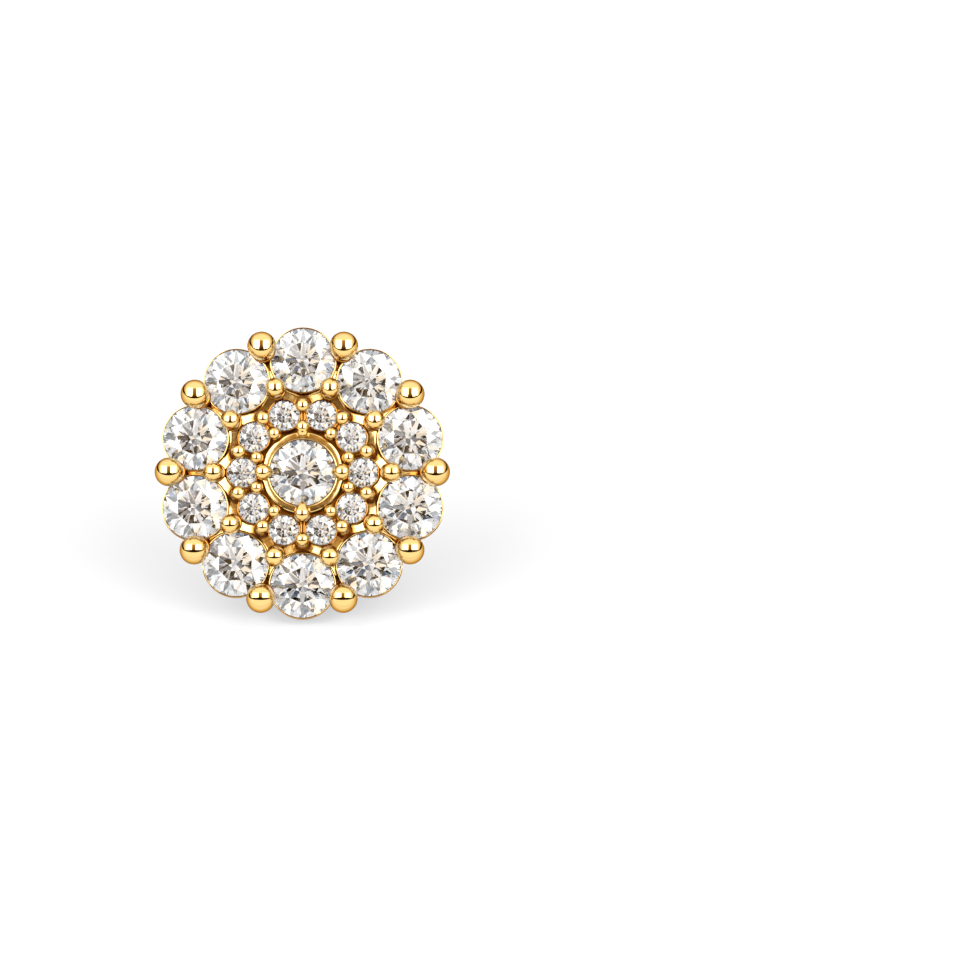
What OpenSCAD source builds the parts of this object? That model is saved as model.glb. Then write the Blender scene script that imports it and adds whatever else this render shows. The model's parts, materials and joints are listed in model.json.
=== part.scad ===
// Cluster stud earring: a round centre stone, a halo of ten small stones and ten outer stones,
// all held by round-headed prongs in one cast gold setting, with a straight ear post behind.
// Lengths are millimetres. The head is drawn lying flat, its face towards +Z and its middle at
// the origin, and is then leant back to the way it rests: on the back ends of its two lowest
// prongs and on the tip of the post.

/* [Stones] */
// Diameter of each outer stone
outer_stone_d = 3.0; // [2.7:0.05:3.05]
// Diameter of the centre stone
centre_stone_d = 3.1; // [2.8:0.05:3.15]
// Diameter of each halo stone
halo_stone_d = 1.4; // [1.2:0.05:1.45]
// Width of a stone's table over its diameter
table_share = 0.56; // [0.5:0.01:0.62]
// Height of a stone's crown over its diameter
crown_share = 0.15; // [0.12:0.01:0.17]
// Thickness of a stone's girdle over its diameter
girdle_share = 0.03; // [0.02:0.005:0.04]
// Depth of a stone's pavilion over its diameter
pavilion_share = 0.43; // [0.4:0.01:0.44]

/* [Cluster] */
// Radius of the ring that the outer stones' middles lie on
outer_ring_r = 5.34; // [5.3:0.02:5.4]
// Radius of the ring that the halo stones' middles lie on
halo_ring_r = 2.85; // [2.83:0.01:2.88]
// Height of the halo stones' girdles above the outer stones' girdles
halo_lift = 0.05; // [0:0.01:0.1]
// Height of the centre stone's girdle above the outer stones' girdles
centre_lift = 0.1; // [0.05:0.01:0.15]

/* [Prongs] */
// Diameter of the round head on each outer prong
outer_bead_d = 1.36; // [1.3:0.02:1.4]
// Radius of the ring of outer prongs
outer_prong_ring_r = 6.27; // [6.24:0.01:6.32]
// How far the outer prongs reach behind the outer stones' girdles
outer_prong_reach = 1.7; // [1.6:0.05:2]
// Diameter of the round head on each middle prong
middle_bead_d = 0.97; // [0.9:0.01:1]
// Radius of the ring of middle prongs
middle_prong_ring_r = 4.2; // [4.18:0.01:4.24]
// Diameter of the round heads just outside the halo stones
halo_outer_bead_d = 0.72; // [0.66:0.02:0.74]
// Radius of the ring of prongs just outside the halo stones
halo_outer_prong_ring_r = 3.18; // [3.16:0.01:3.2]
// Diameter of the round heads just inside the halo stones
halo_inner_bead_d = 0.64; // [0.6:0.02:0.66]
// Radius of the ring of prongs just inside the halo stones
halo_inner_prong_ring_r = 2.28; // [2.26:0.01:2.3]
// Diameter of the head of each claw on the centre stone
claw_head_d = 0.8; // [0.72:0.02:0.82]

/* [Post] */
// Diameter of the ear post
post_d = 0.9; // [0.8:0.05:1]
// Length of the ear post behind the setting
post_free_length = 10.5; // [9.5:0.1:12]

/* [Hidden] */
PETALS = 10;
STEP = 360 / PETALS;
HALF_STEP = STEP / 2;
HALO_INNER_GAPS = [0, 180];

function two_digits(k) = str(k < 10 ? "0" : "", k);
function outer_name(k) = str("outer_stone_", two_digits(k + 1));
function halo_name(k) = str("halo_stone_", two_digits(k + 1));

$fn = 64;
gold = [0.87, 0.66, 0.27];
pale_gold = [0.84, 0.68, 0.36];
clear_white = [0.92, 0.94, 0.97];

// Metal sections
rim_w = 0.07;
rim_gap = 0.03;
seat_gap = 0.045;
cup_top_z = -0.1;
cup_shoulder_z = -0.35;
cup_back_z = -1.05;
cup_back_r = 1.2;
plate_top_z = -0.45;
plate_back_z = -0.85;
plate_inner_r = 1.45;
plate_outer_r = 4.15;
bar_w = 0.38;
bar_top_z = -0.2;
bar_back_z = -0.75;
halo_bar_w = 0.24;
ring_w = 0.26;
ring_top_z = centre_lift + 0.02;
through_z = -3;
over_z = 1;

// Prong shafts and heads: each head clears the crown below it
outer_shaft_d = 0.84;
middle_shaft_d = 0.58;
halo_shaft_d = 0.46;
claw_shaft_d = 0.52;
outer_bead_z = 0.54;
middle_bead_z = 0.44;
halo_outer_bead_z = halo_lift + 0.28;
halo_inner_bead_z = halo_lift + 0.23;
middle_prong_back_z = -1.2;
halo_prong_back_z = plate_back_z + 0.1;

// Claws of the centre stone: the angle, ring radius, tip radius and tip's ring radius of each
claw_angle = 0;
claw_ring = 1;
claw_tip_r = 2;
claw_tip_ring = 3;
claws = [
    [0, 1.87, 0.04, 1.3],
    [90, 2.02, 0.14, 1.46],
    [180, 1.87, 0.04, 1.3],
    [270, 1.97, 0.04, 1.3],
];
claw_z = centre_lift + 0.39;
claw_tip_z = centre_lift + 0.31;
claw_root_r = 0.3;

// Back of the centre cup, which the post stands on
cup_floor_z = -1.45;
boss_top_z = -1.5;
boss_back_z = -2.1;
boss_r = 1.3;
post_gap = 0.02;
post_chamfer = 0.2;
post_start_z = boss_back_z - post_gap;
post_end_z = boss_back_z - post_free_length;

// Rest: the line from the lowest prongs' back edges to the post's lowest edge lies level
foot_v = outer_prong_ring_r * cos(HALF_STEP) + outer_shaft_d / 2;
lean = atan((foot_v - post_d / 2) / (-post_end_z - post_chamfer - outer_prong_reach));
stand_z = foot_v * cos(lean) + outer_prong_reach * sin(lean);
front_y = outer_bead_z * cos(lean) + outer_prong_ring_r * cos(HALF_STEP) * sin(lean) + outer_bead_d / 2;
post_edge_y = max(-post_end_z * cos(lean) + (post_d / 2 - post_chamfer) * sin(lean),
    (-post_end_z - post_chamfer) * cos(lean) + post_d / 2 * sin(lean));
middle_y = (post_edge_y - front_y) / 2;

module at_rest() {
    translate([0, -middle_y, stand_z]) rotate([90 - lean, 0, 0]) children();
}

// Places a child on a ring, its inner side towards the middle; angle 0 is the right-hand side
module on_ring(ring_r, angle, z = 0) {
    rotate([0, 0, angle]) translate([ring_r, 0, z]) children();
}

// Outer stones stand above and below the middle, halo stones between them
function outer_angle(k) = 90 - k * STEP;
function between_angle(k) = outer_angle(k) - HALF_STEP;

// A stone's radius at depth z below its girdle's middle
function pavilion_r(d, z) = d / 2 * (1 + (z + girdle_share * d / 2) / (pavilion_share * d));

// Round brilliant: table, 8 star, 8 kite and 16 upper girdle facets over 16 lower girdle facets
// and 8 mains; the girdle's middle is at z = 0
function polar(r, a, z) = [r * cos(a), r * sin(a), z];

module brilliant(d) {
    r = d / 2;
    girdle_z = girdle_share * d / 2;
    table_r = table_share * r;
    table_z = girdle_z + crown_share * d;
    culet_z = -girdle_z - pavilion_share * d;
    star_r = (table_r + r) / 2 * 1.02;
    star_z = table_z - (star_r * cos(22.5) - table_r) * (table_z - girdle_z) / (r - table_r);
    lower_r = 0.24 * r;
    lower_z = culet_z + lower_r * cos(22.5) * (-girdle_z - culet_z) / r;
    table = 0;
    star = 8;
    upper = 16;
    under = 32;
    lower = 48;
    culet = 56;
    points = concat(
        [for (k = [0 : 7]) polar(table_r, 45 * k, table_z)],
        [for (k = [0 : 7]) polar(star_r, 45 * k + 22.5, star_z)],
        [for (j = [0 : 15]) polar(r, 22.5 * j, girdle_z)],
        [for (j = [0 : 15]) polar(r, 22.5 * j, -girdle_z)],
        [for (k = [0 : 7]) polar(lower_r, 45 * k + 22.5, lower_z)],
        [[0, 0, culet_z]]
    );
    faces = concat(
        [[for (k = [7 : -1 : 0]) table + k]],
        [for (k = [0 : 7]) [table + k, table + (k + 1) % 8, star + k]],
        [for (k = [0 : 7]) [table + k, star + k, upper + 2 * k, star + (k + 7) % 8]],
        [for (k = [0 : 7]) [star + k, upper + 2 * k + 1, upper + 2 * k]],
        [for (k = [0 : 7]) [star + k, upper + (2 * k + 2) % 16, upper + 2 * k + 1]],
        [for (j = [0 : 15]) [upper + j, upper + (j + 1) % 16, under + (j + 1) % 16, under + j]],
        [for (k = [0 : 7]) [under + 2 * k, under + 2 * k + 1, lower + k]],
        [for (k = [0 : 7]) [under + 2 * k + 1, under + (2 * k + 2) % 16, lower + k]],
        [for (k = [0 : 7]) [culet, lower + (k + 7) % 8, under + 2 * k, lower + k]]
    );
    polyhedron(points = points, faces = faces, convexity = 2);
}

// Straight prong with a round head
module prong(bead_d, bead_z, shaft_d, back_z) {
    translate([0, 0, bead_z]) sphere(d = bead_d);
    translate([0, 0, back_z]) cylinder(d = shaft_d, h = bead_z - back_z);
}

// Outside of an outer stone's cup: a short upright rim over a taper
module cup_outside() {
    top_r = outer_stone_d / 2 + rim_w;
    translate([0, 0, cup_shoulder_z]) cylinder(r = top_r, h = cup_top_z - cup_shoulder_z);
    translate([0, 0, cup_back_z])
        cylinder(r1 = cup_back_r, r2 = top_r, h = cup_shoulder_z - cup_back_z);
}

// Space for an outer stone: open above the rim, a seat along the pavilion, a light hole behind
module cup_inside() {
    seat_z = -0.42;
    hole_r = 0.95;
    rotate_extrude() polygon([
        [0, over_z],
        [outer_stone_d / 2 + rim_gap, over_z],
        [outer_stone_d / 2 + rim_gap, cup_top_z + 0.02],
        [pavilion_r(outer_stone_d, cup_top_z) + seat_gap, cup_top_z],
        [pavilion_r(outer_stone_d, seat_z) + seat_gap, seat_z],
        [hole_r, seat_z - 0.2],
        [hole_r, through_z],
        [0, through_z],
    ]);
}

// Outside of a halo stone's seat, down to the plate
module halo_seat_outside() {
    translate([0, 0, plate_back_z + 0.05])
        cylinder(r = halo_stone_d / 2 + rim_gap + rim_w, h = halo_lift - plate_back_z - 0.05);
}

// Space for a halo stone
module halo_seat_inside() {
    rest_z = -0.05;
    seat_z = -0.35;
    hole_r = 0.38;
    rotate_extrude() polygon([
        [0, over_z],
        [halo_stone_d / 2 + rim_gap, over_z],
        [halo_stone_d / 2 + rim_gap, halo_lift + rest_z],
        [pavilion_r(halo_stone_d, rest_z - 0.02) + seat_gap, halo_lift + rest_z - 0.02],
        [pavilion_r(halo_stone_d, seat_z) + seat_gap, halo_lift + seat_z],
        [hole_r, halo_lift + seat_z - 0.1],
        [hole_r, through_z],
        [0, through_z],
    ]);
}

// Centre cup with its smooth ring, closed behind by the boss
module centre_cup_outside() {
    ring_r = centre_stone_d / 2 + rim_gap + ring_w;
    edge = 0.06;
    shoulder_z = -0.3;
    rotate_extrude() polygon([
        [0, ring_top_z],
        [ring_r - edge, ring_top_z],
        [ring_r, ring_top_z - edge],
        [ring_r, shoulder_z],
        [boss_r, boss_top_z],
        [boss_r, boss_back_z],
        [0, boss_back_z],
    ]);
}

module centre_cup_inside() {
    rest_z = -0.08;
    seat_z = -0.5;
    floor_r = 0.7;
    edge = 0.05;
    inner_r = centre_stone_d / 2 + rim_gap;
    rotate_extrude() polygon([
        [0, over_z],
        [inner_r + edge, over_z],
        [inner_r + edge, ring_top_z],
        [inner_r, ring_top_z - edge],
        [inner_r, centre_lift + rest_z],
        [pavilion_r(centre_stone_d, rest_z - 0.02) + seat_gap, centre_lift + rest_z - 0.02],
        [pavilion_r(centre_stone_d, seat_z) + seat_gap, centre_lift + seat_z],
        [floor_r, cup_floor_z],
        [0, cup_floor_z],
    ]);
}

// Claw with a round head and a point that lies over the edge of the centre stone
module claw(ring_r, tip_r, tip_ring_r) {
    translate([0, 0, claw_z]) sphere(d = claw_head_d);
    translate([0, 0, halo_prong_back_z]) cylinder(d = claw_shaft_d, h = claw_z - halo_prong_back_z);
    reach = ring_r - tip_ring_r;
    drop = claw_z - claw_tip_z;
    translate([0, 0, claw_z]) rotate([0, -90 - atan(drop / reach), 0])
        cylinder(r1 = claw_root_r, r2 = tip_r, h = norm([reach, drop]));
}

// Recessed bar from a middle prong out to an outer prong
module outer_bar() {
    start_r = plate_outer_r - 0.35;
    end_r = outer_prong_ring_r - 0.05;
    translate([start_r, -bar_w / 2, bar_back_z])
        cube([end_r - start_r, bar_w, bar_top_z - bar_back_z]);
}

// Narrow bar between two halo stones
module halo_bar() {
    start_r = halo_inner_prong_ring_r - 0.1;
    end_r = halo_outer_prong_ring_r + 0.05;
    start_z = plate_back_z + 0.15;
    translate([start_r, -halo_bar_w / 2, start_z])
        cube([end_r - start_r, halo_bar_w, halo_lift - 0.05 - start_z]);
}

module plate() {
    translate([0, 0, plate_back_z]) difference() {
        cylinder(r = plate_outer_r, h = plate_top_z - plate_back_z);
        translate([0, 0, -1]) cylinder(r = plate_inner_r, h = 3);
    }
}

module seats() {
    difference() {
        union() {
            plate();
            centre_cup_outside();
            for (k = [0 : PETALS - 1]) {
                on_ring(outer_ring_r, outer_angle(k)) cup_outside();
                on_ring(halo_ring_r, between_angle(k)) halo_seat_outside();
                rotate([0, 0, between_angle(k)]) outer_bar();
                rotate([0, 0, outer_angle(k)]) halo_bar();
            }
        }
        centre_cup_inside();
        for (k = [0 : PETALS - 1]) {
            on_ring(outer_ring_r, outer_angle(k)) cup_inside();
            on_ring(halo_ring_r, between_angle(k)) halo_seat_inside();
        }
    }
}

module prongs() {
    for (k = [0 : PETALS - 1]) {
        on_ring(outer_prong_ring_r, between_angle(k))
            prong(outer_bead_d, outer_bead_z, outer_shaft_d, -outer_prong_reach);
        on_ring(middle_prong_ring_r, between_angle(k))
            prong(middle_bead_d, middle_bead_z, middle_shaft_d, middle_prong_back_z);
        on_ring(halo_outer_prong_ring_r, outer_angle(k))
            prong(halo_outer_bead_d, halo_outer_bead_z, halo_shaft_d, halo_prong_back_z);
        if (k * STEP != HALO_INNER_GAPS[0] && k * STEP != HALO_INNER_GAPS[1])
            on_ring(halo_inner_prong_ring_r, outer_angle(k))
                prong(halo_inner_bead_d, halo_inner_bead_z, halo_shaft_d, halo_prong_back_z);
    }
    for (c = claws)
        on_ring(c[claw_ring], c[claw_angle]) claw(c[claw_ring], c[claw_tip_r], c[claw_tip_ring]);
}

module setting() {
    color(gold) at_rest() {
        seats();
        prongs();
    }
}

// Straight post, fixed end on to the boss
module ear_post() {
    r = post_d / 2;
    color(pale_gold) at_rest() rotate_extrude() polygon([
        [0, post_start_z],
        [r, post_start_z],
        [r, post_end_z + post_chamfer],
        [r - post_chamfer, post_end_z],
        [0, post_end_z],
    ]);
}

module centre_stone() {
    color(clear_white) at_rest() translate([0, 0, centre_lift]) brilliant(centre_stone_d);
}

module outer_stone(k) {
    color(clear_white) at_rest() on_ring(outer_ring_r, outer_angle(k)) brilliant(outer_stone_d);
}

module halo_stone(k) {
    color(clear_white) at_rest() on_ring(halo_ring_r, between_angle(k), halo_lift)
        brilliant(halo_stone_d);
}

setting();
ear_post();
centre_stone();
for (k = [0 : PETALS - 1]) {
    outer_stone(k);
    halo_stone(k);
}
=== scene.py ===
"""Looks of the cluster stud earring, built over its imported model.

Every piece is modelled lying flat, in millimetres, in the head's own frame: the girdles of the
outer stones lie at z = 0, the face looks along +Z and +Y is its top. HEAD then leans the piece
back to the way the earring rests, which is read from the frame.
"""

import json
import math
from types import SimpleNamespace

import bmesh
import bpy
from mathutils import Matrix, Vector


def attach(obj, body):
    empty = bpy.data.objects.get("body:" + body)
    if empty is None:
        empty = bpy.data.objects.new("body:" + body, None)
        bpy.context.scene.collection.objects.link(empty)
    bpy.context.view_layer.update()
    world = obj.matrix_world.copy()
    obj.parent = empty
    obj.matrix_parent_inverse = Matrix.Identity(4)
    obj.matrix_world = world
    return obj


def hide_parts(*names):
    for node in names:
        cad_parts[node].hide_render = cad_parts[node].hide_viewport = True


bl_info = {
    "name": "Cluster stud earring",
    "version": (1, 0, 0),
    "blender": (4, 5, 0),
    "location": "3D View > Sidebar > Earring",
    "description": "Builds the looks of a gold cluster stud earring over its packed model",
    "category": "Object",
}

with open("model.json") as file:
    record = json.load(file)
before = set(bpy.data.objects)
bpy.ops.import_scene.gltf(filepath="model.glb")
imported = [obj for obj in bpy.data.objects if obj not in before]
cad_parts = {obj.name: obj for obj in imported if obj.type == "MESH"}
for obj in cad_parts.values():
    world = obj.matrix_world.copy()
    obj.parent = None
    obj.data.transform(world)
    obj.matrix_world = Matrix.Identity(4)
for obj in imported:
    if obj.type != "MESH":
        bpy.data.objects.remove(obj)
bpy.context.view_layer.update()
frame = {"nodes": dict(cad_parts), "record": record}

MM = 0.001
TURN = 2 * math.pi
PETALS = 10
STEP = TURN / PETALS
# Edges that turn by more than this are sharp
SHARP = math.radians(32)
# Points nearer to each other than this, in millimetres, are one point
TINY = 1e-4
# The gap between two pieces that the real one has joined, in millimetres
JOINT_GAP = 0.02
# Size of the patches in which the polish of the metal differs, in millimetres
WEAR_MM = 0.25
# Moissanite's own index of refraction
STONE_IOR = 2.65

# Proportions of the round brilliants, over their diameter
TABLE = 0.56
CROWN = 0.15
GIRDLE = 0.03
PAVILION = 0.43
# The same over the radius: where the star facets and the lower facets reach to
STAR_REACH = 1.02
LOWER_REACH = 0.24
GIRDLE_SIDES = 96

# Degrees by which each stone is turned in its seat, all different
OUTER_TURNS = (0, 9, 4, 15, 7, 0, 12, 5, 17, 10)
HALO_TURNS = (3, 14, 8, 0, 11, 6, 16, 2, 9, 13)

# The near card: millimetres along the view's right, up and front from the head's middle, and
# linear colours of its light from the foot of each part to its top
CARD_DISTANCE = 17.5
CARD_HALF_W = 300
CARD_FOOT = -60
CARD_TOP = -9.2
STRIP_TOP = -2.9
CARD_GLOW = ((0.0, (0.9, 0.9, 0.9)), (0.7, (1.25, 1.25, 1.25)))
STRIP_GLOW = ((0.0, (0.01, 0.005, 0.001)), (1.0, (0.03, 0.015, 0.004)))

# The painted studio, in mirror-ball coordinates: 0 in the ball's middle and 1 at its edge. Each
# pair is where a soft step starts and ends.
FLOOR_END = (0.01, -0.01)
FLOOR_RISE_BEHIND = 0.445
TENT_FOOT = (-0.02, 0.04)
TENT_FOOT_SIDES = (0.4, 0.7)
TENT_FOOT_LIFT = (0.02, 0.22)
GAP_SIDE = (0.1, 0.145)
GAP_FOOT = (0.02, -0.16)
GAP_FOOT_WIDER = 0.05
GAP_TOP = (0.33, 0.42)
GLIMMER_HEIGHT = (-0.2, 0.38)
GLIMMER = (0.04, 0.4)
WINDOW_TOP = (0.46, 0.34)
WINDOW_SIDE = (0.58, 0.44)
WINDOW_LIGHT = 3.2
TENT_EDGE = (0.2, 0.7)
TENT_EDGE_LIGHT = (0.12, 1.0)
TENT_SIDES = (0.85, 0.45)
TENT_SIDE_LIGHT = (0.68, 0.6)
CARD_EDGE = (0.2, 0.8)
CARD_EDGE_LIGHT = (0.33, 1.155)
BASE_LIGHT = 0.015

# Dim light is warmer, as in the gold of the photograph: strength of the light, linear colour
WARMTH = (
    (0.0, (1.0, 0.5, 0.12)),
    (0.35, (1.0, 0.57, 0.17)),
    (0.72, (1.0, 0.68, 0.24)),
    (0.9, (1.0, 0.9, 0.6)),
    (1.0, (1.0, 1.0, 1.0)),
)
# What each bounce from metal to metal leaves of the light: painted shade that darkens the recesses
RECESS_SHADE_PER_BOUNCE = 0.55

# The patches of light that the stones see: value of the noise, linear colour
STONE_TINTS = (
    (0.33, (0.45, 0.66, 1.0)),
    (0.41, (0.97, 0.98, 1.0)),
    (0.6, (1.0, 1.0, 1.0)),
    (0.68, (1.0, 0.85, 0.66)),
)
TINT_SCALE = 1.9
SHADE_SCALE = 2.0
SHADE_AHEAD = (0.7, 0.98)
SHADE_AHEAD_BY = (-0.06, 0.05)
SHADE_STEP = (0.41, 0.5)
SHADE_LIGHT = (0.0, 1.1)
SHADE_POWER = 1.7
STONE_WINDOW_LIGHT = 0.35

# Light on the floor: a glow round one direction, over an even fill
OVERHEAD = (0.0, -0.5, 0.866)
OVERHEAD_SPREAD = (0.5, 1.0)
OVERHEAD_LIGHT = 1.7
FILL_LIGHT = 0.4
BACKDROP = (0.985, 0.985, 0.985, 1.0)


def linear(hex_colour):
    """An sRGB hex colour such as "F2C879" as linear red, green and blue"""
    values = [int(hex_colour[i:i + 2], 16) / 255 for i in (0, 2, 4)]
    return tuple(v / 12.92 if v <= 0.04045 else ((v + 0.055) / 1.055) ** 2.4 for v in values)


def length(name, description, size_mm):
    """A length property: its default is given in millimetres and kept in metres"""
    return bpy.props.FloatProperty(
        name=name, description=description, default=size_mm * MM, precision=5, unit="LENGTH"
    )


def colour(name, description, hex_colour):
    """A colour property"""
    return bpy.props.FloatVectorProperty(
        name=name, description=description, default=linear(hex_colour), subtype="COLOR",
        size=3, min=0.0, max=1.0,
    )


class EarringSettingSizes(bpy.types.PropertyGroup):
    """Sizes of the gold setting"""

    cup_rim_w: length("Cup rim width", "Width of the thin rim round each outer stone", 0.06)
    seat_rim_w: length("Seat rim width", "Width of the thin rim round each halo stone", 0.06)
    rim_gap: length("Rim gap", "Gap between a stone's girdle and its rim", 0.015)
    outer_bead_d: length("Outer bead", "Diameter of the round head on each outer prong", 1.36)
    outer_bead_z: length("Outer bead height", "Height of the outer beads' middles", 0.54)
    outer_prong_ring: length("Outer prong ring", "Radius of the ring of outer prongs", 6.27)
    outer_shaft_d: length("Outer prong", "Diameter of the outer prongs' shafts", 0.84)
    outer_prong_reach: length("Outer prong reach", "How far the outer prongs reach back", 1.7)
    middle_bead_d: length("Middle bead", "Diameter of the head on each middle prong", 0.97)
    middle_bead_z: length("Middle bead height", "Height of the middle beads' middles", 0.44)
    middle_prong_ring: length("Middle prong ring", "Radius of the ring of middle prongs", 4.2)
    middle_shaft_d: length("Middle prong", "Diameter of the middle prongs' shafts", 0.58)
    halo_outer_bead_d: length("Halo outer bead", "Diameter of the beads outside the halo", 0.72)
    halo_outer_bead_z: length("Halo outer bead height", "Height of the beads outside the halo", 0.33)
    halo_outer_ring: length("Halo outer ring", "Radius of the ring of beads outside the halo", 3.18)
    halo_inner_bead_d: length("Halo inner bead", "Diameter of the beads inside the halo", 0.64)
    halo_inner_bead_z: length("Halo inner bead height", "Height of the beads inside the halo", 0.28)
    halo_inner_ring: length("Halo inner ring", "Radius of the ring of beads inside the halo", 2.28)
    halo_shaft_d: length("Halo prong", "Diameter of the halo prongs' shafts", 0.46)
    claw_head_d: length("Claw head", "Diameter of each claw's round back", 0.8)
    centre_ring_w: length("Centre ring width", "Width of the smooth ring round the middle", 0.37)
    gallery_z: length("Gallery height", "Height of the gallery's edge along the outer cups", -0.03)
    gallery_w: length("Gallery width", "Width of the gallery's smooth band", 0.42)
    gallery_dip: length("Gallery dip", "How far the band dips between two middle prongs", 0.16)
    plate_r: length("Plate radius", "Radius of the plate under the halo", 4.15)
    plate_hole_r: length("Plate hole", "Radius of the hole in the middle of the plate", 1.45)
    boss_r: length("Boss radius", "Radius of the boss that the post stands on", 1.3)
    boss_back_z: length("Boss back", "Height of the boss's back", -2.1)


class EarringPostSizes(bpy.types.PropertyGroup):
    """Sizes of the ear post"""

    post_d: length("Post diameter", "Diameter of the ear post", 0.9)
    post_length: length("Post length", "Length of the post behind the boss", 10.5)
    chamfer: length("Tip chamfer", "Width of the bevelled edge at the post's tip", 0.2)


class EarringColours(bpy.types.PropertyGroup):
    """Colours of the metal and of the studio"""

    polished: colour("Polished gold", "Colour of the polished prongs and rims", "F6CF86")
    # The darker gold of the recesses is painted shade
    recessed: colour("Recessed gold", "Colour of the gold in the recesses", "B27A34")
    post: colour("Post gold", "Colour of the drawn gold wire of the post", "F2CB85")
    stone: colour("Stone", "Body colour of the stones", "FFFFFF")
    floor: colour("Floor", "Colour of the studio floor", "8B8B8B")


class EarringCamera(bpy.types.PropertyGroup):
    """Where the camera stands"""

    above_face: bpy.props.FloatProperty(
        name="Above the face", description="Angle of the view above the face's own axis",
        default=math.radians(-5), subtype="ANGLE",
    )
    distance: length("Distance", "Distance from the camera to the middle of the head", 220)
    aside: length("Aside", "How far the camera stands to the right of the head", 8.36)
    below: length("Below", "How far the camera stands below the head's middle in the picture", 0.335)
    frame_w: length("Picture width", "Width that the picture spans at the head", 45.28)


SIZES = {
    "earring_setting": EarringSettingSizes,
    "earring_post": EarringPostSizes,
    "earring_colours": EarringColours,
    "earring_camera": EarringCamera,
}


def in_mm(group_name):
    """A property group's lengths in millimetres"""
    group = getattr(bpy.context.scene, group_name)
    return SimpleNamespace(
        **{name: getattr(group, name) / MM for name in SIZES[group_name].__annotations__}
    )


def head_frame():
    """The matrix from the head's own frame, in millimetres, to the resting part, in metres"""
    post = next(m for m in frame["record"]["mounts"] if m["name"] == "post")
    front = -Vector(post["axis"]).normalized()
    right = Vector((1, 0, 0))
    up = front.cross(right)
    heights = [v.co.dot(front) for v in frame["nodes"]["outer_stone_01"].data.vertices]
    stone_d = (max(heights) - min(heights)) / (CROWN + GIRDLE + PAVILION)
    girdle = max(heights) - (CROWN + GIRDLE / 2) * stone_d
    on_axis = Vector(post["pos_m"])
    origin = on_axis + front * (girdle - on_axis.dot(front))
    turn = Matrix((right, up, front)).transposed().to_4x4()
    return Matrix.Translation(origin) @ turn @ Matrix.Scale(MM, 4)


HEAD = head_frame()


def stone_place(node):
    """A stone's diameter, and the place of its girdle's middle, in the head's frame"""
    to_head = HEAD.inverted()
    points = [to_head @ v.co for v in frame["nodes"][node].data.vertices]
    culet = min(points, key=lambda p: p.z)
    top = max(p.z for p in points)
    d = (top - culet.z) / (CROWN + GIRDLE + PAVILION)
    middle = Vector((culet.x, culet.y, top - (CROWN + GIRDLE / 2) * d))
    return SimpleNamespace(node=node, d=d, middle=middle)


CENTRE_STONE = stone_place("centre_stone")
OUTER_STONES = [stone_place(f"outer_stone_{k:02d}") for k in range(1, PETALS + 1)]
HALO_STONES = [stone_place(f"halo_stone_{k:02d}") for k in range(1, PETALS + 1)]
OUTER_ANGLES = [math.atan2(stone.middle.y, stone.middle.x) for stone in OUTER_STONES]
BETWEEN_ANGLES = [angle - STEP / 2 for angle in OUTER_ANGLES]
OUTER_D = OUTER_STONES[0].d
OUTER_RING = OUTER_STONES[0].middle.xy.length
HALO_D = HALO_STONES[0].d
HALO_RING = HALO_STONES[0].middle.xy.length
HALO_Z = HALO_STONES[0].middle.z


def on_ring(radius, angle, z=0.0):
    """The place on a ring whose own +X points away from the head's middle"""
    return Matrix.Rotation(angle, 4, "Z") @ Matrix.Translation((radius, 0, z))


def under_stone(d, z):
    """A stone's radius at a height below its girdle's middle"""
    return d / 2 * (1 + (z + GIRDLE * d / 2) / (PAVILION * d))


def arc(middle, radius, start, end, steps):
    """Points of a round stretch of a profile, its angles in degrees"""
    angles = [math.radians(start + (end - start) * i / steps) for i in range(steps + 1)]
    return [(middle[0] + radius * math.cos(a), middle[1] + radius * math.sin(a)) for a in angles]


def spun(profile, steps=64, closed=True):
    """A profile of (distance from the axis, height) turned once round the Z axis"""
    bm = bmesh.new()
    verts = [bm.verts.new((r, 0, z)) for r, z in profile]
    edges = [bm.edges.new(pair) for pair in zip(verts, verts[1:])]
    if closed:
        edges.append(bm.edges.new((verts[-1], verts[0])))
    bmesh.ops.spin(
        bm, geom=verts + edges, cent=(0, 0, 0), axis=(0, 0, 1), angle=TURN, steps=steps,
        use_merge=True,
    )
    bmesh.ops.remove_doubles(bm, verts=bm.verts, dist=TINY)
    bmesh.ops.recalc_face_normals(bm, faces=bm.faces)
    return bm


def soften(bm, width, segments=2):
    """Rounds the sharp edges"""
    edges = [e for e in bm.edges if e.is_manifold and e.calc_face_angle() > SHARP]
    bmesh.ops.bevel(
        bm, geom=edges, offset=width, offset_type="OFFSET", segments=segments, profile=0.5,
        affect="EDGES", clamp_overlap=True, material=-1,
    )
    return bm


def cut_away(bm, point, normal):
    """Cuts the mesh flat through a point and drops the side that the normal points to"""
    bmesh.ops.bisect_plane(
        bm, geom=bm.verts[:] + bm.edges[:] + bm.faces[:], dist=TINY / 10, plane_co=point,
        plane_no=normal, clear_outer=True,
    )
    bmesh.ops.holes_fill(bm, edges=[e for e in bm.edges if e.is_boundary], sides=0)
    return bm


def repeated(pattern, places):
    """Joins a copy of the pattern at each place, and frees the pattern"""
    mesh = bpy.data.meshes.new("pattern")
    pattern.to_mesh(mesh)
    pattern.free()
    joined = bmesh.new()
    for place in places:
        start = len(joined.verts)
        joined.from_mesh(mesh)
        joined.verts.ensure_lookup_table()
        bmesh.ops.transform(joined, matrix=place, verts=joined.verts[start:])
    bpy.data.meshes.remove(mesh)
    return joined


def joined(*parts):
    """Several meshes as one"""
    mesh = bpy.data.meshes.new("part")
    whole = bmesh.new()
    for part in parts:
        part.to_mesh(mesh)
        part.free()
        whole.from_mesh(mesh)
    bpy.data.meshes.remove(mesh)
    return whole


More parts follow.
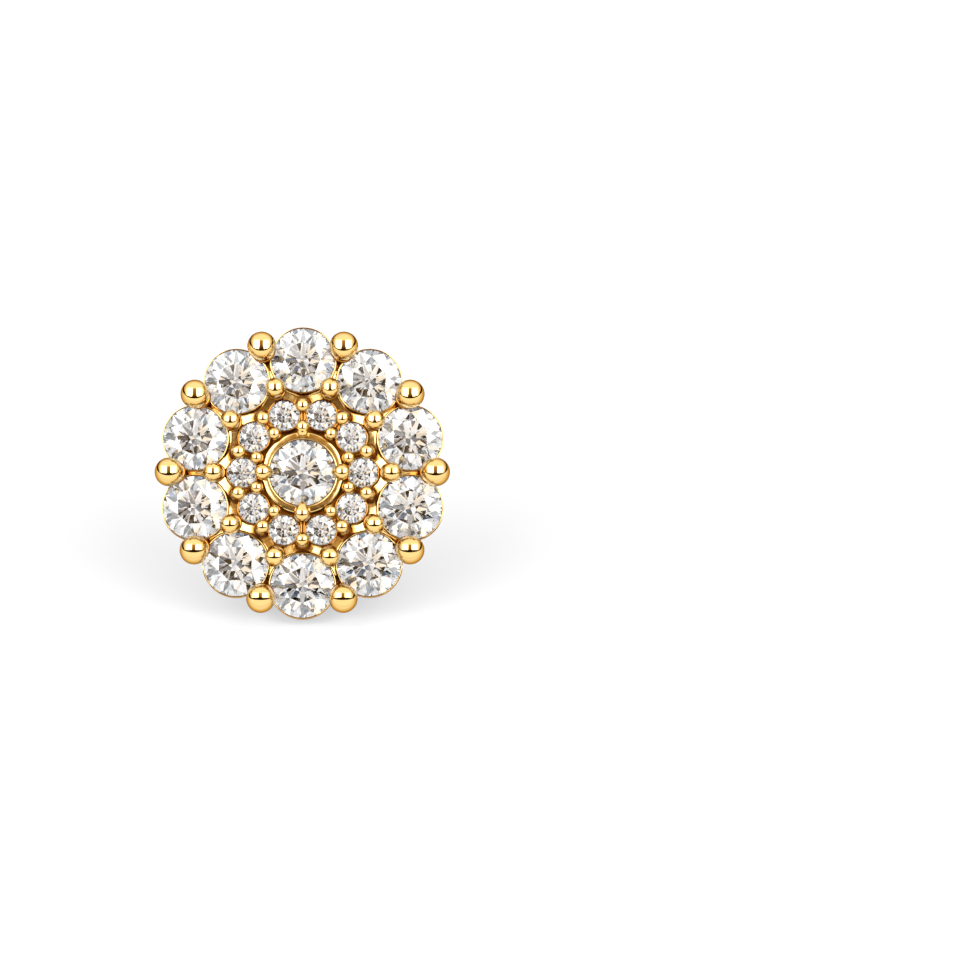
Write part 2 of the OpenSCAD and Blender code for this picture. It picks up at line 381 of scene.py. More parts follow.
def lay_down(name, bm, materials, node, smooth=True):
    """Leans a finished piece back with the head, and rides it on the part in place of its node"""
    bmesh.ops.transform(bm, matrix=HEAD, verts=bm.verts)
    for face in bm.faces:
        face.smooth = smooth
    for edge in bm.edges:
        edge.smooth = edge.calc_face_angle(0.0) < SHARP
    mesh = bpy.data.meshes.new(name)
    bm.to_mesh(mesh)
    bm.free()
    for material in materials:
        mesh.materials.append(material)
    piece = bpy.data.objects.new(name, mesh)
    bpy.context.scene.collection.objects.link(piece)
    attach(piece, "root")
    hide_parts(node)
    return piece


def add(tree, kind, inputs=(), stops=(), **settings):
    """Adds a node: inputs are values, sockets or nodes, by order or by name. Stops are the
    positions and linear colours of a colour ramp."""
    node = tree.nodes.new("ShaderNode" + kind)
    for name, value in settings.items():
        setattr(node, name, value)
    while stops and len(node.color_ramp.elements) < len(stops):
        node.color_ramp.elements.new(1.0)
    for k, (position, hue) in enumerate(stops):
        node.color_ramp.elements[k].position = position
        node.color_ramp.elements[k].color = (*hue, 1.0)
    for key, value in inputs.items() if isinstance(inputs, dict) else enumerate(inputs):
        if isinstance(value, bpy.types.Node):
            value = value.outputs[0]
        if isinstance(value, bpy.types.NodeSocket):
            tree.links.new(value, node.inputs[key])
        elif value is not None:
            node.inputs[key].default_value = value
    return node


def span(value, limits, results=(0.0, 1.0)):
    """Inputs of a Map Range node that takes one pair of limits to another"""
    return {
        "Value": value, "From Min": limits[0], "From Max": limits[1],
        "To Min": results[0], "To Max": results[1],
    }


def empty_material(name):
    """A new material with an empty node tree"""
    material = bpy.data.materials.new(name)
    material.use_nodes = True
    material.node_tree.nodes.clear()
    return material


def gold(name, hue, roughness, spread, wave_mm, wave_height_mm):
    """Metal of one hue, its polish uneven by spread and its surface softly waved"""
    if name in bpy.data.materials:
        return bpy.data.materials[name]
    material = empty_material(name)
    tree = material.node_tree
    place = add(tree, "TexCoord").outputs["Object"]
    waves = add(tree, "TexNoise", {"Vector": place, "Scale": 1 / (wave_mm * MM), "Detail": 2.0})
    wear = add(tree, "TexNoise", {"Vector": place, "Scale": 1 / (WEAR_MM * MM), "Detail": 4.0})
    polish = add(
        tree, "MapRange", span(wear.outputs["Fac"], (0.35, 0.65), (roughness, roughness + spread))
    )
    bump = add(
        tree, "Bump",
        {"Height": waves.outputs["Fac"], "Strength": 1.0, "Distance": wave_height_mm * MM},
    )
    shader = add(
        tree, "BsdfPrincipled",
        {"Base Color": (*hue, 1.0), "Metallic": 1.0, "Roughness": polish, "Normal": bump},
    )
    add(tree, "OutputMaterial", {"Surface": shader})
    return material


def polished_gold():
    """Yellow gold, cast and then polished on a wheel: a mirror with a faint hand-made waviness"""
    hue = bpy.context.scene.earring_colours.polished
    return gold(
        "polished_yellow_gold", hue, roughness=0.03, spread=0.05, wave_mm=0.45, wave_height_mm=0.001
    )


def satin_gold():
    """The same gold where the wheel only just reaches: a mirror a little softened"""
    hue = bpy.context.scene.earring_colours.polished
    return gold(
        "satin_yellow_gold", hue, roughness=0.12, spread=0.06, wave_mm=0.3, wave_height_mm=0.002
    )


def shaded_recess_gold():
    """The same gold where the wheel can't reach: tumbled only, so softer in its shine. Its darker
    colour is painted shade in the recesses.
    """
    hue = bpy.context.scene.earring_colours.recessed
    return gold(
        "tumbled_yellow_gold", hue, roughness=0.1, spread=0.08, wave_mm=0.2, wave_height_mm=0.002
    )


def drawn_gold():
    """Gold wire drawn through a die and burnished: a little softer than the polished head"""
    hue = bpy.context.scene.earring_colours.post
    return gold(
        "drawn_yellow_gold_wire", hue, roughness=0.12, spread=0.08, wave_mm=0.15, wave_height_mm=0.001
    )


def moissanite():
    """Clear moissanite, ground and polished: it bends light hard, so its facets flash white
    and dark"""
    name = "polished_moissanite"
    if name in bpy.data.materials:
        return bpy.data.materials[name]
    material = empty_material(name)
    tree = material.node_tree
    hue = bpy.context.scene.earring_colours.stone
    shader = add(
        tree, "BsdfPrincipled",
        {"Base Color": (*hue, 1.0), "Roughness": 0.0, "IOR": STONE_IOR, "Transmission Weight": 1.0},
    )
    add(tree, "OutputMaterial", {"Surface": shader})
    return material


def girdle_finish():
    """The bruted edge of a stone, ground but not polished: it scatters the light like frosted
    glass, with a grit of 0.02 mm"""
    name = "bruted_moissanite"
    if name in bpy.data.materials:
        return bpy.data.materials[name]
    material = empty_material(name)
    tree = material.node_tree
    place = add(tree, "TexCoord").outputs["Object"]
    grit = add(tree, "TexNoise", {"Vector": place, "Scale": 1 / (0.02 * MM), "Detail": 3.0})
    rough = add(tree, "MapRange", span(grit.outputs["Fac"], (0.3, 0.7), (0.25, 0.5)))
    shader = add(
        tree, "BsdfPrincipled",
        {"Base Color": (0.95, 0.96, 0.98, 1.0), "Roughness": rough, "IOR": STONE_IOR,
         "Transmission Weight": 1.0},
    )
    add(tree, "OutputMaterial", {"Surface": shader})
    return material


def brilliant(d):
    """A round brilliant, ground facet by facet from a cylinder; its girdle's middle is at z = 0"""
    r = d / 2
    edge_z = GIRDLE * r
    table_r = TABLE * r
    table_z = edge_z + CROWN * d
    culet_z = -edge_z - PAVILION * d
    crown_slope = (table_z - edge_z) / (r - table_r)
    half_facet = math.cos(TURN / 16)
    star_r = (table_r + r) / 2 * STAR_REACH
    star_z = table_z - (star_r * half_facet - table_r) * crown_slope
    lower_r = LOWER_REACH * r
    lower_z = culet_z + lower_r * half_facet * (-edge_z - culet_z) / r

    def at(radius, sixteenths, z):
        angle = TURN * sixteenths / 16
        return Vector((radius * math.cos(angle), radius * math.sin(angle), z))

    def grind(a, b, c):
        normal = (b - a).cross(c - a).normalized()
        cut_away(bm, a, normal if normal.dot(a) > 0 else -normal)

    bm = bmesh.new()
    bmesh.ops.create_cone(
        bm, cap_ends=True, cap_tris=False, segments=GIRDLE_SIDES, radius1=r, radius2=r,
        depth=table_z - culet_z, matrix=Matrix.Translation((0, 0, (table_z + culet_z) / 2)),
    )
    mains = range(0, 16, 2)
    for j in mains:
        across = at(1, j + 4, 0)
        grind(at(r, j, -edge_z), at(0, 0, culet_z), at(r, j, -edge_z) + across)
        grind(at(r, j, edge_z), at(table_r, j, table_z), at(r, j, edge_z) + across)
    for j in mains:
        for side in (j, j + 2):
            grind(at(lower_r, j + 1, lower_z), at(r, side, -edge_z), at(r, j + 1, -edge_z))
            grind(at(star_r, j + 1, star_z), at(r, side, edge_z), at(r, j + 1, edge_z))
        grind(at(table_r, j, table_z), at(table_r, j + 2, table_z), at(star_r, j + 1, star_z))
    bmesh.ops.remove_doubles(bm, verts=bm.verts, dist=TINY)
    bmesh.ops.recalc_face_normals(bm, faces=bm.faces)
    for face in bm.faces:
        face.material_index = 1 if abs(face.normal.z) < 0.1 else 0
    return bm


def set_stones(stones, turns):
    """Sets each stone in its seat, each turned by its own angle"""
    for stone, turn in zip(stones, turns):
        bm = brilliant(stone.d)
        around = math.atan2(stone.middle.y, stone.middle.x) + math.radians(turn)
        place = Matrix.Translation(stone.middle) @ Matrix.Rotation(around, 4, "Z")
        bmesh.ops.transform(bm, matrix=place, verts=bm.verts)
        name = stone.node.replace("stone", "brilliant")
        lay_down(name, bm, [moissanite(), girdle_finish()], stone.node, smooth=False)


class EARRING_OT_centre_stone(bpy.types.Operator):
    """Sets the centre stone"""

    bl_idname = "earring.centre_stone"
    bl_label = "Centre Stone"

    def execute(self, context):
        set_stones([CENTRE_STONE], [0])
        return {"FINISHED"}


class EARRING_OT_outer_stones(bpy.types.Operator):
    """Sets the ring of outer stones"""

    bl_idname = "earring.outer_stones"
    bl_label = "Outer Stones"

    def execute(self, context):
        set_stones(OUTER_STONES, OUTER_TURNS)
        return {"FINISHED"}


class EARRING_OT_halo_stones(bpy.types.Operator):
    """Sets the halo of small stones"""

    bl_idname = "earring.halo_stones"
    bl_label = "Halo Stones"

    def execute(self, context):
        set_stones(HALO_STONES, HALO_TURNS)
        return {"FINISHED"}


def seat_profile(d, rim_w, z, shoulder_z, back_z, back_r, hole_r, hole_z):
    """Section of a stone's seat: rim, outside, light hole and the slope under the stone"""
    inner = d / 2 + in_mm("earring_setting").rim_gap
    outer = inner + rim_w
    rim_drop, ledge_drop, slope_drop, slope_rise, slope_gap = 0.005, 0.07, 0.1, 0.12, 0.03
    return [
        (inner, z - rim_drop),
        (outer, z - rim_drop),
        (outer, shoulder_z),
        (back_r, back_z),
        (hole_r, back_z),
        (hole_r, hole_z),
        (under_stone(d, hole_z - z + slope_rise) + slope_gap, hole_z + slope_rise),
        (under_stone(d, -slope_drop) + slope_gap, z - slope_drop),
        (inner, z - ledge_drop),
    ]


class EARRING_OT_outer_cups(bpy.types.Operator):
    """Builds the tapered cups that hold the outer stones"""

    bl_idname = "earring.outer_cups"
    bl_label = "Outer Cups"

    def execute(self, context):
        profile = seat_profile(
            OUTER_D, in_mm("earring_setting").cup_rim_w, z=0.0, shoulder_z=-0.35, back_z=-1.05,
            back_r=1.2, hole_r=0.95, hole_z=-0.6,
        )
        cup = spun(profile, steps=96)
        soften(cup, 0.018)
        bm = repeated(cup, [on_ring(OUTER_RING, angle) for angle in OUTER_ANGLES])
        lay_down("outer_cups", bm, [polished_gold()], "setting")
        return {"FINISHED"}


class EARRING_OT_halo_seats(bpy.types.Operator):
    """Builds the small round seats of the halo stones"""

    bl_idname = "earring.halo_seats"
    bl_label = "Halo Seats"

    def execute(self, context):
        s = in_mm("earring_setting")
        back_r = HALO_D / 2 + s.rim_gap + s.seat_rim_w
        profile = seat_profile(
            HALO_D, s.seat_rim_w, z=HALO_Z, shoulder_z=-0.4, back_z=-0.8, back_r=back_r,
            hole_r=0.38, hole_z=-0.4,
        )
        seat = spun(profile, steps=64)
        soften(seat, 0.02)
        bm = repeated(seat, [on_ring(HALO_RING, angle) for angle in BETWEEN_ANGLES])
        # The seats take the darker gold: painted shade round the halo stones
        lay_down("halo_seats", bm, [shaded_recess_gold()], "setting")
        return {"FINISHED"}


class EARRING_OT_gallery(bpy.types.Operator):
    """Builds the scalloped gallery: a cove that runs down from each outer cup towards the halo"""

    bl_idname = "earring.gallery"
    bl_label = "Scalloped Gallery"

    def execute(self, context):
        s = in_mm("earring_setting")
        rim = OUTER_D / 2 + s.rim_gap + s.cup_rim_w
        groove = rim + 0.03
        back_z, ledge_z, ledge_w = -0.62, -0.45, 0.1
        # The band's slope in degrees: nearly flat, but steep in a short fillet along the cup
        steps, flat_slope, more_slope, fillet_slope, fillet_share = 16, 4, 4, 33, 0.22
        profile = []
        height = s.gallery_z
        for i in range(steps + 1):
            share = i / steps
            profile.append((groove + s.gallery_w * share, height))
            fillet = fillet_slope * max(1 - share / fillet_share, 0) ** 2
            slope = flat_slope + more_slope * (1 - share) + fillet
            height -= s.gallery_w / steps * math.tan(math.radians(slope))
        edge_r, edge_z = profile[-1]
        edge_bevel = [(edge_r + 0.05, edge_z - 0.04), (edge_r + 0.07, edge_z - 0.1)]
        foot = [(edge_r + 0.07, back_z), (rim - ledge_w, back_z), (rim - ledge_w, ledge_z)]
        scallop = spun([*profile, *edge_bevel, *foot, (groove, ledge_z)], steps=180)
        # The band dips in the middle of each scallop, over this much of a turn to each side
        dip_half, dipped_above_z = math.radians(44), -0.3
        for vert in scallop.verts:
            if vert.co.z > dipped_above_z and vert.co.x < 0:
                along = math.atan2(vert.co.y, -vert.co.x) / dip_half
                if abs(along) < 1:
                    vert.co.z -= s.gallery_dip * math.cos(along * math.pi / 2) ** 2
        bmesh.ops.transform(scallop, matrix=on_ring(OUTER_RING, 0), verts=scallop.verts)
        half = STEP / 2
        outside_x = OUTER_RING * math.cos(half) ** 2
        cut_away(scallop, (0, 0, 0), (-math.sin(half), math.cos(half), 0))
        cut_away(scallop, (0, 0, 0), (-math.sin(half), -math.cos(half), 0))
        cut_away(scallop, (outside_x, 0, 0), (1, 0, 0))
        turns = [Matrix.Rotation(angle, 4, "Z") for angle in OUTER_ANGLES]
        lay_down("gallery", repeated(scallop, turns), [satin_gold()], "setting")
        return {"FINISHED"}


def bar(start, end, width, top_z, back_z, hump, edge=0.03):
    """A bar along X whose top rises by hump in its middle"""
    bm = bmesh.new()
    bmesh.ops.create_cube(bm, size=1.0)
    along = [e for e in bm.edges if abs(e.verts[0].co.x - e.verts[1].co.x) > 0.5]
    bmesh.ops.subdivide_edges(bm, edges=along, cuts=9, use_grid_fill=True)
    for vert in bm.verts:
        rise = hump * (1 - (2 * vert.co.x) ** 2) if vert.co.z > 0 else 0.0
        height = top_z - hump + rise if vert.co.z > 0 else back_z
        vert.co = ((start + end) / 2 + vert.co.x * (end - start), vert.co.y * width, height)
    return soften(bm, edge)


class EARRING_OT_bars(bpy.types.Operator):
    """Builds the recessed bars between the stones"""

    bl_idname = "earring.bars"
    bl_label = "Bars"

    def execute(self, context):
        s = in_mm("earring_setting")
        web = bar(
            s.plate_r - 0.2, s.outer_prong_ring - 0.1, width=0.34, top_z=0.0, back_z=-0.75, hump=0.04
        )
        # The top of each outer bar falls away from the middle of the head
        fall, falling_above_z = 0.15, -0.6
        for vert in web.verts:
            if vert.co.z > falling_above_z:
                vert.co.z -= fall * (vert.co.x - s.plate_r)
        bm = repeated(web, [Matrix.Rotation(angle, 4, "Z") for angle in BETWEEN_ANGLES])
        # The bars take the darker gold: painted shade between the stones
        lay_down("outer_bars", bm, [shaded_recess_gold()], "setting")
        link = bar(
            s.halo_inner_ring - 0.1, s.halo_outer_ring + 0.05, width=0.2, top_z=0.0, back_z=-0.7,
            hump=0.06,
        )
        bm = repeated(link, [Matrix.Rotation(angle, 4, "Z") for angle in OUTER_ANGLES])
        # The bars take the darker gold: painted shade between the halo stones
        lay_down("halo_bars", bm, [shaded_recess_gold()], "setting")
        return {"FINISHED"}


def prong(bead_d, bead_z, shaft_d, back_z, collar_r, aside, steps):
    """A prong with a round head over a cushion-like collar, which stands aside from the head's
    middle: towards the middle of the earring where aside is positive"""
    r = bead_d / 2
    shaft = shaft_d / 2
    chamfer = 0.05
    # The collar's place and the flare under it, over the bead's radius
    thick = 0.22 * r
    collar_z = bead_z - 0.62 * r
    foot = [(0, back_z), (shaft - chamfer, back_z), (shaft, back_z + chamfer)]
    flare = [(shaft, collar_z - 0.5 * r), (0.75 * collar_r, collar_z - 0.25 * r)]
    collar = arc((collar_r - thick, collar_z), thick, -50, 90, 7)
    base = spun([*foot, *flare, *collar, (0, collar_z + thick)], steps, closed=False)
    aside_from_z = collar_z - 1.2 * r
    for vert in base.verts:
        share = min(max((vert.co.z - aside_from_z) / r, 0.0), 1.0)
        vert.co.x -= aside * share * share * (3 - 2 * share)
    # The shaft and collar take the second material, the darker gold that paints their shade
    for face in base.faces:
        face.material_index = 1
    bead = spun(arc((0, bead_z), r, -90, 90, steps // 2), steps, closed=False)
    return joined(base, bead)


class EARRING_OT_outer_prongs(bpy.types.Operator):
    """Builds the outer prongs with their large round heads"""

    bl_idname = "earring.outer_prongs"
    bl_label = "Outer Prongs"

    def execute(self, context):
        s = in_mm("earring_setting")
        pattern = prong(
            s.outer_bead_d, s.outer_bead_z, s.outer_shaft_d, back_z=-s.outer_prong_reach,
            collar_r=0.58, aside=0.2, steps=48,
        )
        bm = repeated(pattern, [on_ring(s.outer_prong_ring, angle) for angle in BETWEEN_ANGLES])
        # The second gold, on the shafts and collars, is darker as painted shade
        lay_down("outer_prongs", bm, [polished_gold(), shaded_recess_gold()], "setting")
        return {"FINISHED"}


class EARRING_OT_middle_prongs(bpy.types.Operator):
    """Builds the middle prongs, between the outer stones and the halo"""

    bl_idname = "earring.middle_prongs"
    bl_label = "Middle Prongs"

    def execute(self, context):
        s = in_mm("earring_setting")
        pattern = prong(
            s.middle_bead_d, s.middle_bead_z, s.middle_shaft_d, back_z=-1.2, collar_r=0.46,
            aside=0.12, steps=40,
        )
        bm = repeated(pattern, [on_ring(s.middle_prong_ring, angle) for angle in BETWEEN_ANGLES])
        # The second gold, on the shafts and collars, is darker as painted shade
        lay_down("middle_prongs", bm, [polished_gold(), shaded_recess_gold()], "setting")
        return {"FINISHED"}


class EARRING_OT_halo_prongs(bpy.types.Operator):
    """Builds the small prongs outside and inside the halo"""

    bl_idname = "earring.halo_prongs"
    bl_label = "Halo Prongs"

    def execute(self, context):
        s = in_mm("earring_setting")
        # The second gold, on the shafts and collars, is darker as painted shade
        golds = [polished_gold(), shaded_recess_gold()]
        outside = prong(
            s.halo_outer_bead_d, s.halo_outer_bead_z, s.halo_shaft_d, back_z=-0.75, collar_r=0.34,
            aside=-0.07, steps=32,
        )
        bm = repeated(outside, [on_ring(s.halo_outer_ring, angle) for angle in OUTER_ANGLES])
        lay_down("halo_outer_prongs", bm, golds, "setting")
        inside = prong(
            s.halo_inner_bead_d, s.halo_inner_bead_z, s.halo_shaft_d, back_z=-0.75, collar_r=0.31,
            aside=-0.05, steps=32,
        )
        # At the top and at the bottom a claw stands in the place of an inner prong
        angles = [angle for angle in OUTER_ANGLES if abs(math.cos(angle)) > TINY]
        bm = repeated(inside, [on_ring(s.halo_inner_ring, angle) for angle in angles])
        lay_down("halo_inner_prongs", bm, golds, "setting")
        return {"FINISHED"}


class EARRING_OT_centre_cup(bpy.types.Operator):
    """Builds the centre cup: a smooth ring in front, and the boss that the post stands on behind"""

    bl_idname = "earring.centre_cup"
    bl_label = "Centre Cup"

    def execute(self, context):
        s = in_mm("earring_setting")
        d = CENTRE_STONE.d
        z = CENTRE_STONE.middle.z
        inner = d / 2 + 0.03
        outer = inner + s.centre_ring_w
        # The ring's face is nearly flat and slopes more, in degrees, towards its outer edge
        bevel, steps, inner_slope, more_slope = 0.05, 8, 3, 11
        face = [(inner + bevel, z + bevel)]
        for k in range(1, steps + 1):
            slope = math.radians(inner_slope + more_slope * (k / steps) ** 2)
            step = (s.centre_ring_w - 2 * bevel) / steps
            face.append((face[-1][0] + step, face[-1][1] - step * math.tan(slope)))
        ledge_drop, edge_rise, edge_drop, shoulder_z, boss_z = 0.07, 0.02, 0.06, -0.3, -1.5
        profile = [
            (inner, z - ledge_drop),
            (inner, z + edge_rise),
            *face,
            (outer, face[-1][1] - edge_drop),
            (outer, shoulder_z),
            (s.boss_r, boss_z),
            (s.boss_r, s.boss_back_z),
            (0, s.boss_back_z),
        ]
        cavity_z, cavity_r, slope_gap = -1.45, 0.7, 0.04
        under = [(under_stone(d, -drop) + slope_gap, z - drop) for drop in (0.6, 0.1)]
        cavity = [(0, cavity_z), (cavity_r, cavity_z), *under]
        cup = soften(spun([*reversed(profile), *reversed(cavity)], 128, closed=False), 0.02)
        lay_down("centre_cup", cup, [satin_gold()], "setting")
        return {"FINISHED"}


def claw(head_d, ring_r, tip_ring_r, tip_r, tip_drop):
    """A claw: a round back that draws in to a tip lying over the stone's edge"""
    r = head_d / 2
    reach = math.hypot(ring_r - tip_ring_r, tip_drop)
    back = arc((0, 0), r, 180, 60, 12)
    shares = (0.45, 0.6, 0.72, 0.84, 0.93)
    taper = [(reach * t, r * 0.97 * (1 - t * t) ** 0.9 + tip_r * t * t) for t in shares]
    tip = [(reach, tip_r * 0.6), (reach + tip_r * 0.4, 0)]
    profile = [(abs(y), x) for x, y in [*back, *taper, *tip]]
    bm = spun(profile, 32, closed=False)
    lean = math.atan2(tip_drop, ring_r - tip_ring_r)
    bmesh.ops.transform(bm, matrix=Matrix.Rotation(-math.pi / 2 - lean, 4, "Y"), verts=bm.verts)
    return bm


class EARRING_OT_claws(bpy.types.Operator):
    """Builds the four claws of the centre stone"""

    bl_idname = "earring.claws"
    bl_label = "Centre Claws"

    def execute(self, context):
        s = in_mm("earring_setting")
        z = CENTRE_STONE.middle.z + 0.39
        stem_r, stem_top, stem_back_z = 0.26, -0.1, -0.75
        # Angle in degrees, the head's diameter, the rings of the head and of the tip, the tip's
        # radius. The top claw is short and blunt.
        claws = [
            (0, s.claw_head_d, 1.87, 1.36, 0.05),
            (90, 0.82 * s.claw_head_d, 2.14, 1.76, 0.24),
            (180, s.claw_head_d, 1.87, 1.36, 0.05),
            (270, s.claw_head_d, 1.97, 1.36, 0.05),
        ]
        parts = []
        for angle, head_d, ring_r, tip_ring_r, tip_r in claws:
            place = on_ring(ring_r, math.radians(angle), z)
            head = claw(head_d, ring_r, tip_ring_r, tip_r, tip_drop=0.08)
            bmesh.ops.transform(head, matrix=place, verts=head.verts)
            foot = stem_back_z - z
            stem = spun([(0, foot), (stem_r, foot), (stem_r, stem_top), (0, 0)], 32, closed=False)
            bmesh.ops.transform(stem, matrix=place, verts=stem.verts)
            parts += [head, stem]
        lay_down("centre_claws", joined(*parts), [polished_gold()], "setting")
        return {"FINISHED"}


class EARRING_OT_plate(bpy.types.Operator):
    """Builds the plate under the halo, pierced behind each halo stone"""

    bl_idname = "earring.plate"
    bl_label = "Halo Plate"

    def execute(self, context):
        s = in_mm("earring_setting")
        back_z, thick, hole_r = -0.85, 0.4, 0.39
        bm = bmesh.new()
        bmesh.ops.create_circle(bm, segments=120, radius=s.plate_r)
        bmesh.ops.create_circle(bm, segments=64, radius=s.plate_hole_r)
        for angle in BETWEEN_ANGLES:
            bmesh.ops.create_circle(bm, segments=32, radius=hole_r, matrix=on_ring(HALO_RING, angle))
        bmesh.ops.triangle_fill(bm, edges=bm.edges, use_beauty=True)
        pushed = bmesh.ops.extrude_face_region(bm, geom=bm.faces[:])
        verts = [v for v in pushed["geom"] if isinstance(v, bmesh.types.BMVert)]
        bmesh.ops.translate(bm, verts=verts, vec=(0, 0, thick))
        bmesh.ops.translate(bm, verts=bm.verts, vec=(0, 0, back_z))
        bmesh.ops.recalc_face_normals(bm, faces=bm.faces)
        soften(bm, 0.04)
        # The plate takes the darker gold: painted shade behind the halo
        lay_down("halo_plate", bm, [shaded_recess_gold()], "setting")
        return {"FINISHED"}


class EARRING_OT_post(bpy.types.Operator):
    """Builds the ear post"""

    bl_idname = "earring.post"
    bl_label = "Ear Post"

    def execute(self, context):
        s = in_mm("earring_setting")
        p = in_mm("earring_post")
        r = p.post_d / 2
        start_z = s.boss_back_z - JOINT_GAP
        end_z = s.boss_back_z - p.post_length
        tip = [(r, end_z + p.chamfer), (r - p.chamfer, end_z), (0, end_z)]
        bm = spun([(0, start_z), (r, start_z), *tip], 48, closed=False)
        soften(bm, width=0.05, segments=4)
        lay_down("ear_post_wire", bm, [drawn_gold()], "ear_post")
        return {"FINISHED"}


def view_axes():
    """Unit vectors of the picture: to the right, up, and from the head towards the camera"""
    camera = bpy.context.scene.earring_camera
    front = HEAD.to_3x3().col[2].normalized()
    right = Vector((1, 0, 0))
    back = Matrix.Rotation(-camera.above_face, 3, "X") @ front
    return right, back.cross(right), back


def calculate(tree, operation, *values):
    """A chain of one sum or product over the values, which are numbers, sockets or nodes"""
    total = values[0]
    for value in values[1:]:
        total = add(tree, "Math", (total, value), operation=operation)
    return total


def recess_shade_by_bounce(tree):
    """What is left of mirrored light after its bounces: painted shade in the recesses of the metal,
    which dims the light by a share at each bounce"""
    bounces = add(tree, "LightPath").outputs["Glossy Depth"]
    return add(tree, "Math", (RECESS_SHADE_PER_BOUNCE, calculate(tree, "ADD", bounces, -1.0)), operation="POWER")


def near_card():
    """A pale card just in front of the earring and below the view, with a black strip along its
    top edge. It shows only in mirrored rays, and near as it is, lower in the upper beads."""
    right, up, back = view_axes()
    place = Matrix.Translation(HEAD.translation) @ Matrix((right, up, back)).transposed().to_4x4()
    for name, foot, top, glow in (
        ("white_card", CARD_FOOT, CARD_TOP, CARD_GLOW),
        ("black_card_edge", CARD_TOP, STRIP_TOP, STRIP_GLOW),
    ):
        material = empty_material(name)
        material.cycles.emission_sampling = "NONE"
        tree = material.node_tree
        height = add(tree, "SeparateXYZ", (add(tree, "TexCoord").outputs["Object"],)).outputs["Y"]
        share = add(tree, "MapRange", span(height, (foot, top)))
        hue = add(tree, "ValToRGB", (share,), stops=glow)
        # The card's light is dimmed at each bounce, as painted shade in the recesses
        shine = add(tree, "Emission", {"Color": hue, "Strength": recess_shade_by_bounce(tree)})
        add(tree, "OutputMaterial", {"Surface": shine})
        bm = bmesh.new()
        bmesh.ops.create_grid(bm, x_segments=1, y_segments=1, size=1.0)
        for vert in bm.verts:
            vert.co = (vert.co.x * CARD_HALF_W, top if vert.co.y > 0 else foot, CARD_DISTANCE)
        mesh = bpy.data.meshes.new(name)
        bm.to_mesh(mesh)
        bm.free()
        mesh.materials.append(material)
        card = bpy.data.objects.new(name, mesh)
        card.matrix_world = place @ Matrix.Scale(MM, 4)
        bpy.context.scene.collection.objects.link(card)
        for kind in ("camera", "diffuse", "transmission", "volume_scatter", "shadow"):
            setattr(card, "visible_" + kind, False)


